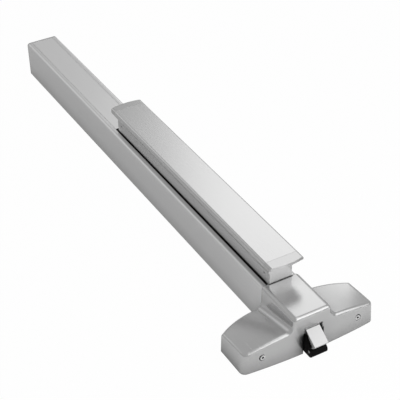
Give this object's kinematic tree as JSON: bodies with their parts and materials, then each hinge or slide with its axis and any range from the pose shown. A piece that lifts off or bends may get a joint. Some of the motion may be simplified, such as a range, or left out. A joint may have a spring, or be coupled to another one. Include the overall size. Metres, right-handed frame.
{
  "type": "rim exit device",
  "caption": "Rim exit device: a channel rail with a sprung push bar that draws a bevelled latch bolt back into a winged latch head.",
  "frame": {"origin": "centre of the latch head's four mounting holes, on the door plane", "axes": "+X along the device towards the latch, +Z out of the door face, +Y across the device"},
  "size_m": [0.859, 0.2, 0.1005],
  "materials": {
    "rail_finish": "satin, fine lengthwise grain",
    "bar_finish": "satin, fine lengthwise grain",
    "cap_finish": "satin cast and brushed",
    "cover_finish": "satin, softly brushed",
    "bolt_steel": "satin stainless steel",
    "snubber_black": "black moulded, slight sheen",
    "plated_steel": "zinc plated",
    "pin_steel": "ground steel",
    "screw_steel": "satin stainless steel",
    "spring_steel": "drawn wire",
    "stop_rubber": "black"
  },
  "bodies": {
    "housing": {"rail": "rail_finish", "filler_plate": "rail_finish", "rail_end_cap": "cap_finish", "end_cap_screws": "screw_steel", "end_bracket": "plated_steel", "chassis": "plated_steel", "head_cover": "cover_finish", "cover_screws": "screw_steel", "bolt_guide": "plated_steel", "guide_screws": "screw_steel", "front_bracket": "plated_steel", "rear_bracket": "plated_steel", "floor_screws": "screw_steel", "front_pivot_pin": "pin_steel", "rear_pivot_pin": "pin_steel", "spring_stop": "plated_steel", "stop_block": "plated_steel", "rubber_stop": "stop_rubber", "return_spring": "spring_steel", "snubber_spring": "spring_steel"},
    "push_bar": {"push_bar": "bar_finish", "front_bar_cap": "cap_finish", "rear_bar_cap": "cap_finish", "bar_cap_screws": "screw_steel", "front_lug": "plated_steel", "rear_lug": "plated_steel"},
    "front_crank": {"front_crank": "plated_steel", "front_link_pin": "pin_steel", "front_rod_pin": "pin_steel"},
    "rear_crank": {"rear_crank": "plated_steel", "rear_link_pin": "pin_steel", "rear_rod_pin": "pin_steel"},
    "drive_rod": {"drive_rod": "plated_steel", "spring_collar": "plated_steel", "collar_pin": "pin_steel"},
    "latch_bolt": {"latch_bolt": "bolt_steel", "bolt_link": "bolt_steel", "bolt_pin": "pin_steel", "rod_end_pin": "pin_steel"},
    "snubber": {"deadlatch_snubber": "snubber_black"}
  },
  "joints": [
    {"name": "bar_slide", "type": "slide", "parent": "housing", "child": "push_bar", "axis": [0, 0, -1], "range_m": [0, 0.0155], "stiffness_N_per_m": 1500, "springref_m": -0.03},
    {"name": "front_crank_turn", "type": "hinge", "parent": "housing", "child": "front_crank", "pos_m": [-0.11, 0, 0.04611], "axis": [0, 1, 0], "range_deg": [0, 34.8]},
    {"name": "rear_crank_turn", "type": "hinge", "parent": "housing", "child": "rear_crank", "pos_m": [-0.42, 0, 0.04611], "axis": [0, 1, 0], "range_deg": [0, 34.8]},
    {"name": "rod_slide", "type": "slide", "parent": "housing", "child": "drive_rod", "axis": [-1, 0, 0], "range_m": [0, 0.0206], "deforming": ["return_spring"]},
    {"name": "bolt_slide", "type": "slide", "parent": "housing", "child": "latch_bolt", "axis": [-1, 0, 0], "range_m": [0, 0.0206]},
    {"name": "snubber_slide", "type": "slide", "parent": "housing", "child": "snubber", "axis": [-1, 0, 0], "range_m": [0, 0.016], "stiffness_N_per_m": 250, "springref_m": -0.02, "deforming": ["snubber_spring"]}
  ],
  "couplings": [
    {"joint": "front_crank_turn", "follows": "bar_slide", "rad_per_m": 39.055},
    {"joint": "rear_crank_turn", "follows": "bar_slide", "rad_per_m": 39.055},
    {"joint": "rod_slide", "follows": "bar_slide", "ratio": 1.3226},
    {"joint": "bolt_slide", "follows": "bar_slide", "ratio": 1.3226}
  ]
}
